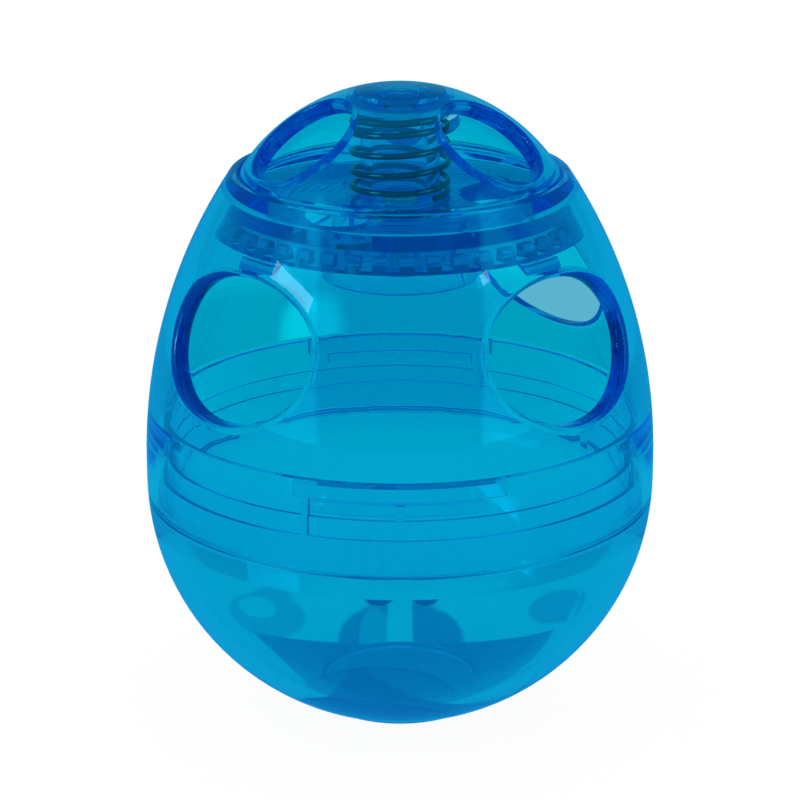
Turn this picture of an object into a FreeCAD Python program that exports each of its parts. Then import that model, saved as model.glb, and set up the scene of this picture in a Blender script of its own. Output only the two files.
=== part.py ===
"""Cat treat dispenser toy: an egg of clear plastic with side windows and a sprung selector dome.

Millimetres. The origin is the middle of the foot, on the floor, with +Z up. The side windows look along
+X, +Y and -Y.
"""
import FreeCAD, Part
import math
import os
import Sketcher

V = FreeCAD.Vector
UP = V(0, 0, 1)

# Driving sizes, in millimetres, degrees and counts.
SIZES = [
    ("body_radius", 35.0, "largest radius of the egg"),
    ("foot_sink", 1.6, "how far the table cuts off the round bottom"),
    ("belt_rise", 2.6, "height of the straight belt's top above the centre of the round bottom"),
    ("shoulder_arc", 72.2, "radius of the egg's side above the belt"),
    ("shell_wall", 2.1, "wall of the upper shell"),
    ("belt_wall", 1.5, "wall of the upper shell round the neck"),
    ("bowl_wall", 2.0, "wall of the bowl"),
    ("floor_thickness", 2.2, "height of the bowl's flat floor above the table"),
    ("foot_height", 0.45, "height of the foot's ring"),
    ("foot_width", 1.2, "width of the foot's ring"),
    ("foot_hollow_depth", 0.7, "depth of the hollow inside the foot's ring"),
    ("foot_round", 0.3, "rounding of the foot's edges"),
    ("seam_drop", 2.4, "depth of the bowl's shoulder below the centre of the round bottom"),
    ("seam_gap", 0.2, "gap between bowl and shell"),
    ("seam_round", 0.3, "rounding of the two edges at the seam"),
    ("neck_height", 12.0, "height of the bowl's neck above that shoulder"),
    ("neck_wall", 1.6, "wall of the neck"),
    ("neck_root_drop", 3.5, "height over which the bowl's wall leads into the neck"),
    ("neck_lead", 0.4, "bevel at the top of the neck"),
    ("socket_gap", 0.3, "clearance between the neck and the shell"),
    ("rail_depth", 0.9, "depth of the bayonet's rail in the neck"),
    ("rail_step", 0.4, "how much shallower the lower half of the rail is"),
    ("rail_rise", 4.6, "height of the rail's lower edge above the bowl's shoulder"),
    ("rail_height", 5.1, "height of the bayonet's rail"),
    ("lug_count", 4, "bayonet lugs"),
    ("lug_angle", 39.0, "angle that a bayonet lug takes"),
    ("lug_height", 1.4, "height of a bayonet lug"),
    ("lug_gap", 0.3, "clearance round a bayonet lug"),
    ("slot_side_gap", 1.2, "clearance beside a lug in its entry slot, as an angle"),
    ("catch_angle", 2.0, "angle that the catch under a lug takes"),
    ("catch_height", 0.7, "height of the catch under a lug"),
    ("stop_angle", 1.6, "angle that a stop in the rail takes"),
    ("window_count", 3, "side windows"),
    ("window_span", 180.0, "angle from the first side window to the last"),
    ("window_width", 24.4, "width of a side window, straight across"),
    ("window_height", 18.2, "height of a side window"),
    ("window_round", 1.1, "rounding of a side window's outer edge"),
    ("window_gap", 0.6, "height of wall between a side window and the snap above it"),
    ("rim_width", 1.1, "width of the rim"),
    ("rim_round", 0.35, "rounding of the rim's edges"),
    ("recess_radius", 21.8, "radius of the recess that the dome stands in"),
    ("recess_depth", 3.2, "depth of that recess below the rim"),
    ("deck_gap", 0.1, "gap between the shell's ledge and the deck plate"),
    ("deck_thickness", 2.2, "thickness of the deck plate"),
    ("deck_side_gap", 0.25, "clearance between the deck plate's edge and the shell"),
    ("deck_height", 4.5, "height of the deck plate with its skirt"),
    ("skirt_wall", 1.4, "wall of that skirt"),
    ("sleeve_radius", 7.1, "radius of the sleeve under the deck plate, round the stem"),
    ("sleeve_length", 1.4, "length of that sleeve"),
    ("port_count", 3, "ports in the deck plate, and openings in the dome"),
    ("port_place", 47.0, "angle of the first port, from +X towards +Y"),
    ("port_ring_radius", 14.4, "distance of a port's middle from the axis"),
    ("port_radius", 6.2, "radius of a port in the deck plate"),
    ("port_round", 0.5, "rounding of a port's upper edge"),
    ("tooth_count", 42, "teeth round the inside of the skirt"),
    ("tooth_height", 1.6, "height of a tooth"),
    ("tooth_width", 1.8, "width of a tooth"),
    ("tooth_depth", 1.8, "how far a tooth stands in from the skirt's lower edge"),
    ("snap_count", 4, "snaps that hold the deck plate"),
    ("snap_depth", 2.0, "how far a snap stands in from the shell's wall"),
    ("snap_height", 1.2, "height of a snap"),
    ("snap_angle", 14.0, "angle that a snap takes"),
    ("snap_gap", 0.1, "gap between the skirt and a snap"),
    ("dome_arc", 25.7, "radius of the dome's round top"),
    ("dome_rise", 0.08, "height above the rim where that round top begins"),
    ("dome_wall", 2.3, "wall of the dome"),
    ("dome_side_gap", 0.3, "clearance between the dome and its recess"),
    ("dome_lift", 1.7, "height of the dome's lower edge above the deck plate"),
    ("dome_edge_round", 0.4, "rounding of the dome's lower edge"),
    ("opening_place", 11.5, "angle of the dome's first opening, from +X towards +Y"),
    ("opening_radius", 7.5, "radius of an opening in the dome"),
    ("opening_angle", 54.0, "angle of an opening's axis above the horizon"),
    ("opening_round", 0.45, "rounding of an opening's outer edge"),
    ("stem_radius", 5.3, "outer radius of the dome's stem"),
    ("stem_wall", 1.5, "wall of the stem"),
    ("stem_floor", 2.0, "floor of the stem, under the screw's head"),
    ("stem_gap", 0.25, "clearance between the stem and the deck plate"),
    ("boss_radius", 6.7, "radius of the boss over the spring"),
    ("boss_drop", 3.4, "depth of the underside of that boss below the top of the dome"),
    ("cap_radius", 6.0, "radius of the cap on top of the stem"),
    ("cap_thickness", 1.3, "thickness of that cap at its edge"),
    ("cap_gap", 0.1, "clearance round that cap"),
    ("plug_length", 3.0, "length of the plug under that cap"),
    ("plug_wall", 1.0, "wall of that plug"),
    ("wire_diameter", 0.8, "diameter of the spring's wire"),
    ("coil_radius", 6.4, "radius of the spring to the middle of its wire"),
    ("spring_turns", 5, "turns of the spring, with both end turns"),
    ("end_turn_rise", 1.25, "rise of an end turn, middle of wire to middle of wire"),
    ("wire_flat", 0.05, "clearance between the spring and what it presses on"),
    ("washer_thickness", 0.5, "thickness of the washer on the spring"),
    ("washer_width", 1.2, "width of that washer's ring"),
    ("washer_gap", 0.05, "clearance between that washer and the boss"),
    ("washer_side_gap", 0.15, "clearance between that washer and the stem"),
    ("hub_radius", 10.6, "outer radius of the hub cap"),
    ("hub_wall", 1.3, "wall of the hub cap's skirt"),
    ("hub_top", 1.8, "thickness of the hub cap's top"),
    ("hub_gap", 0.3, "gap between the hub cap and the deck plate's sleeve"),
    ("hub_height", 7.3, "height of the hub cap"),
    ("hub_round", 0.6, "rounding of the hub cap's upper edge"),
    ("post_radius", 3.2, "radius of the post that takes the screw"),
    ("post_length", 5.0, "length of that post under the hub cap's top"),
    ("rib_count", 4, "ribs between that post and the skirt"),
    ("rib_width", 1.0, "width of such a rib"),
    ("rib_height", 2.5, "height of such a rib"),
    ("screw_radius", 1.3, "radius of the screw's shank"),
    ("screw_length", 7.4, "length of the screw's shank"),
    ("screw_gap", 0.1, "clearance round the screw's shank"),
    ("pilot_reach", 0.5, "depth of the screw's hole below its tip"),
    ("head_radius", 2.6, "radius of the screw's head"),
    ("head_height", 1.7, "height of the screw's head"),
    ("head_round", 0.7, "rounding of the screw's head"),
    ("cross_width", 0.7, "width of an arm of the cross recess in the screw"),
    ("cross_reach", 1.4, "reach of an arm of that recess from the axis"),
    ("cross_depth", 0.9, "depth of that recess"),
]

# Sizes that follow from the driving ones.
DERIVED = [
    ("bowl_center_z", "body_radius - foot_sink"),
    ("belt_top_z", "bowl_center_z + belt_rise"),
    ("shoulder_center_x", "body_radius - shoulder_arc"),
    ("inner_arc", "shoulder_arc - shell_wall"),
    ("foot_radius", "sqrt(body_radius^2 - (bowl_center_z - foot_height)^2)"),
    ("foot_hollow_radius", "foot_radius - foot_width"),
    ("bowl_inner_arc", "body_radius - bowl_wall"),
    ("floor_radius", "sqrt(bowl_inner_arc^2 - (bowl_center_z - floor_thickness)^2)"),
    ("seam_z", "bowl_center_z - seam_drop"),
    ("bowl_seam_radius", "sqrt(body_radius^2 - (bowl_center_z - seam_z)^2)"),
    ("socket_radius", "body_radius - belt_wall"),
    ("neck_radius", "socket_radius - socket_gap"),
    ("neck_inner_radius", "neck_radius - neck_wall"),
    ("neck_root_z", "seam_z - neck_root_drop"),
    ("neck_root_radius", "sqrt(bowl_inner_arc^2 - (bowl_center_z - neck_root_z)^2)"),
    ("neck_top_z", "seam_z + neck_height"),
    ("neck_lead_z", "neck_top_z - neck_lead"),
    ("neck_lead_radius", "neck_radius - neck_lead"),
    ("rail_radius", "neck_radius - rail_depth"),
    ("rail_low_radius", "rail_radius + rail_step"),
    ("rail_low_z", "seam_z + rail_rise"),
    ("rail_high_z", "rail_low_z + rail_height"),
    ("rail_step_z", "(rail_low_z + rail_high_z) / 2"),
    ("shell_bottom_z", "seam_z + seam_gap"),
    ("shell_bottom_radius", "sqrt(body_radius^2 - (bowl_center_z - shell_bottom_z)^2)"),
    ("socket_top_z", "neck_top_z + socket_gap"),
    ("socket_top_radius",
     "shoulder_center_x + sqrt(inner_arc^2 - (socket_top_z - belt_top_z)^2)"),
    ("rim_radius", "recess_radius + rim_width"),
    ("rim_z", "belt_top_z + sqrt(shoulder_arc^2 - (rim_radius - shoulder_center_x)^2)"),
    ("ledge_z", "rim_z - recess_depth"),
    ("ledge_radius", "shoulder_center_x + sqrt(inner_arc^2 - (ledge_z - belt_top_z)^2)"),
    ("lug_place", "180 / lug_count"),
    ("lug_inner_radius", "rail_radius + lug_gap"),
    ("lug_root_radius", "socket_radius + belt_wall / 2"),
    ("lug_top_z", "rail_high_z - lug_gap"),
    ("lug_bottom_z", "lug_top_z - lug_height"),
    ("catch_bottom_z", "lug_bottom_z - catch_height"),
    ("slot_angle", "lug_angle + 2 * slot_side_gap"),
    ("stop_place", "lug_place - lug_angle / 2 - slot_side_gap - stop_angle / 2"),
    ("deck_top_z", "ledge_z - deck_gap"),
    ("deck_under_z", "deck_top_z - deck_thickness"),
    ("deck_bottom_z", "deck_top_z - deck_height"),
    ("deck_top_radius", "ledge_radius - deck_side_gap"),
    ("deck_bottom_radius",
     "shoulder_center_x + sqrt(inner_arc^2 - (deck_bottom_z - belt_top_z)^2) - 2 * deck_side_gap"),
    ("deck_edge_slope", "(deck_bottom_radius - deck_top_radius) / deck_height"),
    ("deck_under_radius", "deck_top_radius + deck_edge_slope * deck_thickness - skirt_wall"),
    ("skirt_inner_radius", "deck_bottom_radius - skirt_wall"),
    ("sleeve_bottom_z", "deck_under_z - sleeve_length"),
    ("bore_radius", "stem_radius + stem_gap"),
    ("tooth_inner_radius", "skirt_inner_radius - tooth_depth"),
    ("tooth_outer_radius", "skirt_inner_radius + skirt_wall / 4"),
    ("snap_top_z", "deck_bottom_z - snap_gap"),
    ("snap_bottom_z", "snap_top_z - snap_height"),
    ("window_z", "snap_bottom_z - window_gap - window_height / 2"),
    ("snap_wall_radius",
     "shoulder_center_x + sqrt(inner_arc^2 - (snap_bottom_z - belt_top_z)^2)"),
    ("snap_inner_radius", "snap_wall_radius - snap_depth"),
    ("snap_root_radius", "snap_wall_radius + shell_wall / 3"),
    ("dome_inner_arc", "dome_arc - dome_wall"),
    ("dome_radius", "recess_radius - dome_side_gap"),
    ("dome_joint_z", "rim_z + dome_rise"),
    ("dome_center_z", "dome_joint_z - sqrt(dome_arc^2 - dome_radius^2)"),
    ("dome_inner_radius", "dome_radius - dome_wall"),
    ("dome_bottom_z", "deck_top_z + dome_lift"),
    ("dome_inner_joint_z", "dome_center_z + sqrt(dome_inner_arc^2 - dome_inner_radius^2)"),
    ("opening_start", "sqrt(dome_inner_arc^2 - opening_radius^2) - dome_wall / 2"),
    ("opening_reach", "dome_arc + dome_wall"),
    ("stem_bore", "stem_radius - stem_wall"),
    ("stem_bottom_z", "sleeve_bottom_z - hub_gap"),
    ("stem_floor_z", "stem_bottom_z + stem_floor"),
    ("pocket_radius", "cap_radius + cap_gap"),
    ("pocket_edge_z", "dome_center_z + sqrt(dome_arc^2 - pocket_radius^2)"),
    ("cap_edge_z", "dome_center_z + sqrt(dome_arc^2 - cap_radius^2)"),
    ("cap_bottom_z", "cap_edge_z - cap_thickness"),
    ("cap_top_z", "dome_center_z + dome_arc"),
    ("boss_bottom_z", "cap_top_z - boss_drop"),
    ("boss_joint_z", "dome_center_z + sqrt(dome_inner_arc^2 - boss_radius^2)"),
    ("plug_radius", "stem_bore - cap_gap"),
    ("plug_bore", "plug_radius - plug_wall"),
    ("plug_bottom_z", "cap_bottom_z - plug_length"),
    ("washer_top_z", "boss_bottom_z - washer_gap"),
    ("washer_bottom_z", "washer_top_z - washer_thickness"),
    ("washer_bore", "stem_radius + washer_side_gap"),
    ("washer_radius", "washer_bore + washer_width"),
    ("wire_radius", "wire_diameter / 2"),
    ("wire_low_z", "deck_top_z + wire_flat + wire_radius"),
    ("wire_high_z", "washer_bottom_z - wire_flat - wire_radius"),
    ("hub_web_z", "stem_bottom_z - hub_top"),
    ("hub_bottom_z", "stem_bottom_z - hub_height"),
    ("hub_bore", "hub_radius - hub_wall"),
    ("post_bottom_z", "hub_web_z - post_length"),
    ("rib_bottom_z", "hub_web_z - rib_height"),
    ("screw_bore", "screw_radius + screw_gap"),
    ("rib_inner_radius", "(post_radius + screw_bore) / 2"),
    ("rib_outer_radius", "hub_radius - hub_wall / 2"),
    ("screw_tip_z", "stem_floor_z - screw_length"),
    ("pilot_bottom_z", "screw_tip_z - pilot_reach"),
    ("head_top_z", "stem_floor_z + head_height"),
]

doc = FreeCAD.newDocument("treat_egg")
sheet = doc.addObject("Spreadsheet::Sheet", "Sizes")
for row, (alias, value, meaning) in enumerate(SIZES, start=1):
    sheet.set(f"A{row}", meaning)
    sheet.set(f"B{row}", str(value))
    sheet.setAlias(f"B{row}", alias)
for row, (alias, formula) in enumerate(DERIVED, start=len(SIZES) + 2):
    sheet.set(f"A{row}", "follows from the sizes above")
    sheet.set(f"B{row}", "=" + formula)
    sheet.setAlias(f"B{row}", alias)
doc.recompute()


def size(alias):
    """The value of one named size, or 0 for an axis."""
    return float(sheet.get(alias)) if alias else 0.0


def new_body(name):
    """A body whose label is the name of its piece."""
    body = doc.addObject("PartDesign::Body", name)
    body.Label = name
    return body


def datum(body, role):
    """One of a body's own origin planes or axes."""
    return next(item for item in body.Origin.OriginFeatures if item.Role == role)


def new_sketch(body, name, role="XZ_Plane", height=None, turn=None):
    """A sketch on a plane of the body's own, lifted to a named height and turned by a named angle."""
    sketch = body.newObject("Sketcher::SketchObject", name)
    sketch.AttachmentSupport = [(datum(body, role), "")]
    sketch.MapMode = "FlatFace"
    if turn:
        upright = UP if role == "XY_Plane" else V(0, 1, 0)
        sketch.AttachmentOffset = FreeCAD.Placement(V(), FreeCAD.Rotation(upright, size(turn)))
        sketch.setExpression("AttachmentOffset.Rotation.Angle", f"Sizes.{turn} * 1 deg")
    if height:
        sketch.setExpression("AttachmentOffset.Base.z", f"Sizes.{height}")
    return sketch


def bind(sketch, kind, *place_and_alias):
    """A constraint whose value is a named size."""
    *place, alias = place_and_alias
    value = math.radians(size(alias)) if kind == "Angle" else size(alias)
    index = sketch.addConstraint(Sketcher.Constraint(kind, *place, value))
    sketch.setExpression(f"Constraints[{index}]", f"Sizes.{alias}")


def hold(sketch, geometry, point, across, along):
    """Hold a point's two coordinates at named sizes: 0 is on the axis, and None is left free."""
    if across == 0:
        sketch.addConstraint(Sketcher.Constraint("PointOnObject", geometry, point, -2))
    elif across:
        bind(sketch, "DistanceX", -1, 1, geometry, point, across)
    if along == 0:
        sketch.addConstraint(Sketcher.Constraint("PointOnObject", geometry, point, -1))
    elif along:
        bind(sketch, "DistanceY", -1, 1, geometry, point, along)


def draw_profile(sketch, corners, arcs=None):
    """A closed outline through corners of named sizes.

    arcs maps a corner's number to the centre of the arc that starts there. That arc's radius sets one
    coordinate of the corner at its other end, which the corner's third value names.
    """
    arcs = arcs or {}
    points = [V(size(corner[0]), size(corner[1]), 0) for corner in corners]
    ends = []
    for i, start in enumerate(points):
        end = points[(i + 1) % len(points)]
        if i not in arcs:
            sketch.addGeometry(Part.LineSegment(start, end), False)
            ends.append((1, 2))
            continue
        center = V(size(arcs[i][0]), size(arcs[i][1]), 0)
        first = math.atan2(start.y - center.y, start.x - center.x)
        last = math.atan2(end.y - center.y, end.x - center.x)
        circle = Part.Circle(center, UP, (start - center).Length)
        sketch.addGeometry(Part.ArcOfCircle(circle, min(first, last), max(first, last)), False)
        ends.append((1, 2) if first < last else (2, 1))
    for i, (start_point, end_point) in enumerate(ends):
        after = (i + 1) % len(ends)
        sketch.addConstraint(Sketcher.Constraint("Coincident", i, end_point, after, ends[after][0]))
    for i, corner in enumerate(corners):
        left_free = corner[2] if len(corner) > 2 else ""
        across = None if left_free == "x" else corner[0]
        along = None if left_free == "y" else corner[1]
        hold(sketch, i, ends[i][0], across, along)
    for i, center in arcs.items():
        hold(sketch, i, 3, center[0], center[1])


def draw_circle(sketch, across, radius):
    """A circle about a point of the sketch's X axis."""
    index = sketch.addGeometry(Part.Circle(V(size(across), 0, 0), UP, size(radius)), False)
    hold(sketch, index, 3, across, 0)
    bind(sketch, "Radius", index, radius)


def draw_bar(sketch, low, high, width):
    """A rectangle along the sketch's X axis, centred on it."""
    x0, x1, half = size(low), size(high), size(width) / 2
    corners = [V(x0, -half, 0), V(x1, -half, 0), V(x1, half, 0), V(x0, half, 0)]
    for i in range(4):
        sketch.addGeometry(Part.LineSegment(corners[i], corners[(i + 1) % 4]), False)
    for i in range(4):
        sketch.addConstraint(Sketcher.Constraint("Coincident", i, 2, (i + 1) % 4, 1))
    for kind, line in (("Horizontal", 0), ("Horizontal", 2), ("Vertical", 3)):
        sketch.addConstraint(Sketcher.Constraint(kind, line))
    hold(sketch, 0, 1, low, None)
    hold(sketch, 0, 2, high, None)
    sketch.addConstraint(Sketcher.Constraint("Symmetric", 0, 2, 1, 2, -1))
    bind(sketch, "DistanceY", 1, 1, 1, 2, width)


def stop_if_failed():
    """Stop if any object of the document could not be made."""
    failed = [f"{item.Name}: {item.getStatusString()}" for item in doc.Objects
              if "Invalid" in item.State or "Error" in item.State]
    if failed:
        raise ValueError("; ".join(failed))


def check_change(before, feature, grows):
    """Stop if a feature failed, changed nothing, or changed the volume the wrong way."""
    stop_if_failed()
    change = feature.Shape.Volume - before.Shape.Volume
    if (change if grows else -change) < 0.01:
        raise ValueError(f"{feature.Name} changed the volume by {change:.3f}")
    return feature


def revolve(body, kind, name, sketch, angle=None, axis="V_Axis"):
    """A Revolution or a Groove: a full turn, or a named angle, half of it to each side."""
    feature = body.newObject(f"PartDesign::{kind}", name)
    feature.Profile = sketch
    feature.ReferenceAxis = (sketch, [axis])
    feature.Angle = 360
    if angle:
        feature.Midplane = True
        feature.setExpression("Angle", f"Sizes.{angle}")
    doc.recompute()
    return feature


def extrude(body, kind, name, sketch, length, backwards=False):
    """A Pad or a Pocket, whose length is an expression."""
    feature = body.newObject(f"PartDesign::{kind}", name)
    feature.Profile = sketch
    feature.Type = "Length"
    feature.setExpression("Length", length)
    feature.Reversed = backwards
    doc.recompute()
    return feature


def repeat(body, name, features, count, span=None):
    """Copies of features, a named count of them, round the vertical axis or over a named angle."""
    pattern = body.newObject("PartDesign::PolarPattern", name)
    pattern.Originals = features
    pattern.Axis = (datum(body, "Z_Axis"), [""])
    pattern.Angle = 360
    if span:
        pattern.setExpression("Angle", f"Sizes.{span}")
    pattern.setExpression("Occurrences", f"Sizes.{count}")
    body.Tip = pattern
    doc.recompute()
    return pattern


def round_edges(body, name, base, test, radius):
    """A fillet of a named radius on each edge of a feature that passes a test."""
    found = [f"Edge{i}" for i, edge in enumerate(base.Shape.Edges, start=1) if test(edge)]
    if not found:
        raise ValueError(f"no edge for {name}")
    fillet = body.newObject("PartDesign::Fillet", name)
    fillet.Base = (base, found)
    fillet.setExpression("Radius", f"Sizes.{radius}")
    body.Tip = fillet
    doc.recompute()
    return fillet


def ring_at(*rings):
    """A test for circles about the vertical axis, each of a named radius at a named height."""
    def test(edge):
        curve = edge.Curve
        if not isinstance(curve, Part.Circle) or math.hypot(curve.Center.x, curve.Center.y) > 1e-4:
            return False
        return any(abs(curve.Radius - size(radius)) < 1e-4 and abs(curve.Center.z - size(height)) < 1e-4
                   for radius, height in rings)
    return test


BOWL_CENTER = (0, "bowl_center_z")
SHOULDER_CENTER = ("shoulder_center_x", "belt_top_z")
DOME_CENTER = (0, "dome_center_z")


def make_lower_bowl():
    """The round bottom with its foot and floor, and the neck with the bayonet's rail."""
    body = new_body("lower_bowl")
    outline = new_sketch(body, "bowl_outline")
    draw_profile(outline, [
        (0, "foot_hollow_depth"),
        ("foot_hollow_radius", "foot_hollow_depth"),
        ("foot_hollow_radius", 0),
        ("foot_radius", 0),
        ("foot_radius", "foot_height"),
        ("bowl_seam_radius", "seam_z", "x"),
        ("neck_radius", "seam_z"),
        ("neck_radius", "neck_lead_z"),
        ("neck_lead_radius", "neck_top_z"),
        ("neck_inner_radius", "neck_top_z"),
        ("neck_inner_radius", "seam_z"),
        ("neck_root_radius", "neck_root_z"),
        ("floor_radius", "floor_thickness", "x"),
        (0, "floor_thickness"),
    ], {4: BOWL_CENTER, 11: BOWL_CENTER})
    turned = revolve(body, "Revolution", "bowl_turned", outline)
    edges = ring_at(("foot_radius", 0), ("foot_hollow_radius", 0))
    turned = round_edges(body, "foot_rounds", turned, edges, "foot_round")
    edges = ring_at(("bowl_seam_radius", "seam_z"))
    turned = round_edges(body, "bowl_seam_round", turned, edges, "seam_round")

    outline = new_sketch(body, "rail_outline")
    draw_profile(outline, [
        ("rail_low_radius", "rail_low_z"),
        ("socket_radius", "rail_low_z"),
        ("socket_radius", "rail_high_z"),
        ("rail_radius", "rail_high_z"),
        ("rail_radius", "rail_step_z"),
        ("rail_low_radius", "rail_step_z"),
    ])
    rail = check_change(turned, revolve(body, "Groove", "rail", outline), grows=False)

    outline = new_sketch(body, "entry_outline")
    draw_profile(outline, [
        ("rail_radius", "rail_step_z"),
        ("socket_radius", "rail_step_z"),
        ("socket_radius", "socket_top_z"),
        ("rail_radius", "socket_top_z"),
    ])
    entry = revolve(body, "Groove", "entry", outline, "slot_angle")
    entries = check_change(rail, repeat(body, "entries", [entry], "lug_count"), grows=False)

    outline = new_sketch(body, "stop_outline", turn="stop_place")
    draw_profile(outline, [
        ("neck_inner_radius", "rail_low_z"),
        ("neck_radius", "rail_low_z"),
        ("neck_radius", "rail_high_z"),
        ("neck_inner_radius", "rail_high_z"),
    ])
    stop = revolve(body, "Revolution", "stop", outline, "stop_angle")
    check_change(entries, repeat(body, "stops", [stop], "lug_count"), grows=True)


def make_upper_shell():
    """The upper part of the egg, with its windows, rim, recess, bayonet lugs and deck snaps."""
    body = new_body("upper_shell")
    outline = new_sketch(body, "shell_outline")
    draw_profile(outline, [
        ("shell_bottom_radius", "shell_bottom_z"),
        ("body_radius", "bowl_center_z", "x"),
        ("body_radius", "belt_top_z"),
        ("rim_radius", "rim_z", "x"),
        ("recess_radius", "rim_z"),
        ("recess_radius", "ledge_z"),
        ("ledge_radius", "ledge_z"),
        ("socket_top_radius", "socket_top_z", "x"),
        ("socket_radius", "socket_top_z"),
        ("socket_radius", "shell_bottom_z"),
    ], {0: BOWL_CENTER, 2: SHOULDER_CENTER, 6: SHOULDER_CENTER})
    turned = revolve(body, "Revolution", "shell_turned", outline)
    edges = ring_at(("recess_radius", "rim_z"), ("rim_radius", "rim_z"))
    turned = round_edges(body, "rim_rounds", turned, edges, "rim_round")
    edges = ring_at(("shell_bottom_radius", "shell_bottom_z"))
    turned = round_edges(body, "shell_seam_round", turned, edges, "seam_round")

    oval = new_sketch(body, "window_outline")
    half_width, half_height, level = size("window_width") / 2, size("window_height") / 2, size("window_z")
    ellipse = Part.Ellipse(V(half_width, level, 0), V(0, level + half_height, 0), V(0, level, 0))
    oval.addGeometry(ellipse, False)
    oval.exposeInternalGeometry(0)
    hold(oval, 0, 3, 0, "window_z")
    oval.addConstraint(Sketcher.Constraint("Horizontal", 1))
    bind(oval, "Distance", 1, "window_width")
    bind(oval, "Distance", 2, "window_height")
    window = extrude(body, "Pocket", "window", oval, "Sizes.body_radius + Sizes.shell_wall", True)
    windows = repeat(body, "windows", [window], "window_count", "window_span")
    windows = check_change(turned, windows, grows=False)
    windows = round_edges(body, "window_rounds", windows, on_window, "window_round")

    outline = new_sketch(body, "lug_outline", turn="lug_place")
    draw_profile(outline, [
        ("lug_inner_radius", "lug_bottom_z"),
        ("lug_root_radius", "lug_bottom_z"),
        ("lug_root_radius", "lug_top_z"),
        ("lug_inner_radius", "lug_top_z"),
    ])
    lug = revolve(body, "Revolution", "lug", outline, "lug_angle")
    outline = new_sketch(body, "catch_outline", turn="lug_place")
    draw_profile(outline, [
        ("lug_inner_radius", "catch_bottom_z"),
        ("lug_root_radius", "catch_bottom_z"),
        ("lug_root_radius", "lug_bottom_z"),
        ("lug_inner_radius", "lug_bottom_z"),
    ])
    catch = revolve(body, "Revolution", "catch", outline, "catch_angle")
    lugs = check_change(windows, repeat(body, "lugs", [lug, catch], "lug_count"), grows=True)

    outline = new_sketch(body, "snap_outline")
    draw_profile(outline, [
        ("snap_inner_radius", "snap_top_z"),
        ("snap_wall_radius", "snap_bottom_z"),
        ("snap_root_radius", "snap_bottom_z"),
        ("snap_root_radius", "snap_top_z"),
    ])
    snap = revolve(body, "Revolution", "snap", outline, "snap_angle")
    check_change(lugs, repeat(body, "snaps", [snap], "snap_count"), grows=True)


def on_window(edge):
    """True for an edge between a side window and the outside of the egg."""
    if isinstance(edge.Curve, Part.Circle):
        return False
    middle = edge.valueAt((edge.FirstParameter + edge.LastParameter) / 2)
    rise = middle.z - size("belt_top_z")
    outside = size("shoulder_center_x") + math.sqrt(size("shoulder_arc") ** 2 - rise ** 2)
    in_band = abs(middle.z - size("window_z")) < size("window_height")
    return in_band and abs(math.hypot(middle.x, middle.y) - outside) < 0.05


def make_selector_dome():
    """The dome with its openings, the boss over the spring, and the stem down through the deck."""
    body = new_body("selector_dome")
    outline = new_sketch(body, "dome_outline")
    draw_profile(outline, [
        ("dome_radius", "dome_bottom_z"),
        ("dome_radius", "dome_joint_z"),
        ("pocket_radius", "pocket_edge_z", "y"),
        ("pocket_radius", "cap_bottom_z"),
        ("stem_bore", "cap_bottom_z"),
        ("stem_bore", "stem_floor_z"),
        ("screw_bore", "stem_floor_z"),
        ("screw_bore", "stem_bottom_z"),
        ("stem_radius", "stem_bottom_z"),
        ("stem_radius", "boss_bottom_z"),
        ("boss_radius", "boss_bottom_z"),
        ("boss_radius", "boss_joint_z"),
        ("dome_inner_radius", "dome_inner_joint_z", "y"),
        ("dome_inner_radius", "dome_bottom_z"),
    ], {1: DOME_CENTER, 11: DOME_CENTER})
    turned = revolve(body, "Revolution", "dome_turned", outline)
    edges = ring_at(("dome_radius", "dome_bottom_z"))
    turned = round_edges(body, "dome_edge_rounds", turned, edges, "dome_edge_round")

    outline = new_sketch(body, "opening_outline", turn="opening_place")
    draw_opening(outline)
    opening = revolve(body, "Groove", "opening", outline, axis="Axis0")
    openings = check_change(turned, repeat(body, "openings", [opening], "port_count"), grows=False)
    round_edges(body, "opening_rounds", openings, on_opening, "opening_round")


def draw_opening(sketch):
    """Half the length of a cylinder, beside its axis, which leans up from the dome's centre."""
    lean = math.radians(size("opening_angle"))
    along = V(math.cos(lean), math.sin(lean), 0)
    across = V(math.sin(lean), -math.cos(lean), 0)
    center = V(0, size("dome_center_z"), 0)
    inner = center + along * size("opening_start")
    outer = center + along * size("opening_reach")
    side = across * size("opening_radius")
    sketch.addGeometry(Part.LineSegment(center, outer), True)
    corners = [inner, outer, outer + side, inner + side]
    for i in range(4):
        sketch.addGeometry(Part.LineSegment(corners[i], corners[(i + 1) % 4]), False)
    for i in range(4):
        sketch.addConstraint(Sketcher.Constraint("Coincident", 1 + i, 2, 1 + (i + 1) % 4, 1))
    hold(sketch, 0, 1, 0, "dome_center_z")
    bind(sketch, "Angle", 0, "opening_angle")
    bind(sketch, "Distance", 0, "opening_reach")
    sketch.addConstraint(Sketcher.Constraint("Coincident", 0, 2, 1, 2))
    sketch.addConstraint(Sketcher.Constraint("PointOnObject", 1, 1, 0))
    bind(sketch, "Distance", 0, 1, 1, 1, "opening_start")
    sketch.addConstraint(Sketcher.Constraint("Perpendicular", 0, 2))
    sketch.addConstraint(Sketcher.Constraint("Perpendicular", 2, 3))
    sketch.addConstraint(Sketcher.Constraint("Perpendicular", 0, 4))
    bind(sketch, "Distance", 2, "opening_radius")


def on_opening(edge):
    """True for an edge between an opening and the outside of the dome."""
    curve = edge.Curve
    if isinstance(curve, Part.Circle) and math.hypot(curve.Center.x, curve.Center.y) < 1e-4:
        return False
    middle = edge.valueAt((edge.FirstParameter + edge.LastParameter) / 2)
    return abs(middle.distanceToPoint(V(0, 0, size("dome_center_z"))) - size("dome_arc")) < 0.01


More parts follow.
